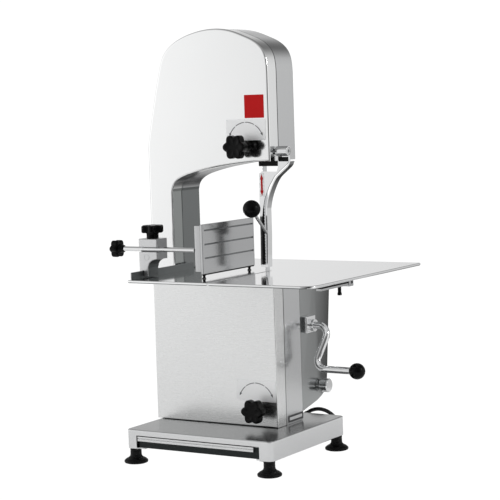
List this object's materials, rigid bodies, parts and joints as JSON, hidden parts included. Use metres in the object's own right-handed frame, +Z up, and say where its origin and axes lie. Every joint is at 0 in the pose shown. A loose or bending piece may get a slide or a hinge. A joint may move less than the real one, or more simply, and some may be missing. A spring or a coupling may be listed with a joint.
{
  "type": "bone saw",
  "caption": "Bench-top stainless band saw for butchers: covered wheels, hinged covers, slotted work table, swinging blade guard, sliding fence, residue drawer and blade-tension lever.",
  "frame": {"origin": "under the middle of the saw's box, on the surface that the feet stand on", "axes": "+Z up, +Y to the rear, -Y towards the user and the hinged covers, +X to the user's right"},
  "size_m": [0.5, 0.4624, 0.87],
  "materials": {
    "stainless_satin": "satin ground stainless sheet",
    "stainless_polished": "bright polished stainless",
    "brushed_aluminium": "brushed along its length",
    "light_casting": "fine cast, lightly polished",
    "black_plastic": "moulded, half gloss",
    "black_rubber": "matt",
    "cord_rubber": "half matt sheath",
    "motor_paint": "grey enamel",
    "blade_steel": "bright strip steel",
    "scraper_plastic": "white food-grade plastic",
    "switch_plastic": "fine grained",
    "start_green": "moulded",
    "stop_red": "moulded"
  },
  "bodies": {
    "frame": {"base_tray": "stainless_polished", "foot_front_left": "black_rubber", "foot_front_right": "black_rubber", "foot_rear_left": "black_rubber", "foot_rear_right": "black_rubber", "main_frame": "stainless_satin", "motor_housing": "stainless_satin", "housing_boss": "stainless_polished", "work_table": "stainless_polished", "table_support": "stainless_satin", "rail_slide_strip": "black_plastic", "side_rail": "brushed_aluminium", "upper_axle": "stainless_satin", "upper_cover_latch_post": "stainless_satin", "lower_cover_latch_post": "stainless_satin", "upper_hinge_frame_leaf": "stainless_satin", "lower_hinge_frame_leaf": "stainless_satin", "saw_blade": "blade_steel", "blade_guide_upper": "stainless_polished", "blade_guide_lower": "stainless_satin", "wheel_scraper": "scraper_plastic", "guard_bracket": "stainless_satin", "guard_pivot_bolt": "stainless_satin", "crank_bearing_block": "stainless_polished", "carriage_guide": "stainless_satin", "clamp_block": "light_casting", "switch_box": "switch_plastic", "power_gland": "black_plastic", "cord_lead": "cord_rubber", "cord_coil": "cord_rubber", "cord_tail": "cord_rubber", "mains_plug": "black_plastic"},
    "upper_door": {"upper_cover": "stainless_polished", "upper_hinge_cover_leaf": "stainless_satin"},
    "upper_latch": {"upper_cover_knob": "black_plastic"},
    "lower_door": {"lower_cover": "stainless_satin", "lower_hinge_cover_leaf": "stainless_satin"},
    "lower_latch": {"lower_cover_knob": "black_plastic"},
    "guard": {"guard_arm": "stainless_polished", "guard_lever": "stainless_polished", "guard_ball": "black_plastic"},
    "fence": {"fence_plate": "brushed_aluminium", "fence_glides": "black_plastic", "fence_rod": "stainless_polished", "fence_end_knob": "black_plastic"},
    "clamp_screw": {"clamp_knob": "black_plastic"},
    "drawer": {"residue_drawer": "stainless_satin"},
    "carriage": {"motor_plate": "stainless_satin", "motor_body": "motor_paint"},
    "lower_wheel_set": {"lower_wheel": "brushed_aluminium", "motor_shaft": "stainless_satin"},
    "upper_wheel_set": {"upper_wheel": "brushed_aluminium", "upper_wheel_bearing": "stainless_satin"},
    "crank": {"tension_camshaft": "stainless_satin", "crank_arm": "stainless_polished", "crank_ball": "black_plastic"},
    "start": {"start_button": "start_green"},
    "stop": {"stop_button": "stop_red"},
    "lock_pin": {"rail_lock_pin": "black_plastic"}
  },
  "joints": [
    {"name": "upper_cover_hinge", "type": "hinge", "parent": "frame", "child": "upper_door", "pos_m": [-0.2355, -0.0175, 0.518], "axis": [0, 0, -1], "range_deg": [0, 105]},
    {"name": "upper_knob_turn", "type": "hinge", "parent": "upper_door", "child": "upper_latch", "pos_m": [0.002, -0.084, 0.634], "axis": [0, 1, 0], "range_deg": [0, 360]},
    {"name": "lower_cover_hinge", "type": "hinge", "parent": "frame", "child": "lower_door", "pos_m": [-0.2355, -0.0175, 0.22], "axis": [0, 0, -1], "range_deg": [0, 105]},
    {"name": "lower_knob_turn", "type": "hinge", "parent": "lower_door", "child": "lower_latch", "pos_m": [0.025, -0.084, 0.107], "axis": [0, 1, 0], "range_deg": [0, 360]},
    {"name": "guard_swing", "type": "hinge", "parent": "frame", "child": "guard", "pos_m": [0.076, -0.027, 0.623], "axis": [-1, 0, 0], "range_deg": [0, 80]},
    {"name": "fence_slide", "type": "slide", "parent": "frame", "child": "fence", "axis": [1, 0, 0], "range_m": [-0.08, 0.034]},
    {"name": "clamp_screw_turn", "type": "hinge", "parent": "frame", "child": "clamp_screw", "pos_m": [-0.152, -0.1585, 0.476], "axis": [0, 0, 1], "range_deg": [0, 360]},
    {"name": "drawer_slide", "type": "slide", "parent": "frame", "child": "drawer", "axis": [0, -1, 0], "range_m": [0, 0.2]},
    {"name": "tension_lever_turn", "type": "hinge", "parent": "frame", "child": "crank", "pos_m": [0.084, 0.079, 0.262], "axis": [-1, 0, 0], "range_deg": [0, 120]},
    {"name": "motor_carriage_slide", "type": "slide", "parent": "frame", "child": "carriage", "axis": [0, 0, 1], "range_m": [0, 0.005]},
    {"name": "lower_wheel_spin", "type": "hinge", "parent": "carriage", "child": "lower_wheel_set", "pos_m": [-0.0833, -0.007, 0.25], "axis": [0, 1, 0], "continuous": true},
    {"name": "upper_wheel_spin", "type": "hinge", "parent": "frame", "child": "upper_wheel_set", "pos_m": [-0.0833, -0.007, 0.7425], "axis": [0, 1, 0], "continuous": true},
    {"name": "start_button_press", "type": "slide", "parent": "frame", "child": "start", "axis": [1, 0, 0], "range_m": [0, 0.003], "stiffness_N_per_m": 500},
    {"name": "stop_button_press", "type": "slide", "parent": "frame", "child": "stop", "axis": [1, 0, 0], "range_m": [0, 0.002], "stiffness_N_per_m": 500},
    {"name": "rail_pin_pull", "type": "slide", "parent": "frame", "child": "lock_pin", "axis": [0, 0, -1], "range_m": [0, 0.005], "stiffness_N_per_m": 600}
  ],
  "couplings": [
    {"joint": "upper_wheel_spin", "follows": "lower_wheel_spin", "ratio": 1},
    {"joint": "tension_lever_turn", "follows": "motor_carriage_slide", "rad_per_m": 418.8}
  ]
}
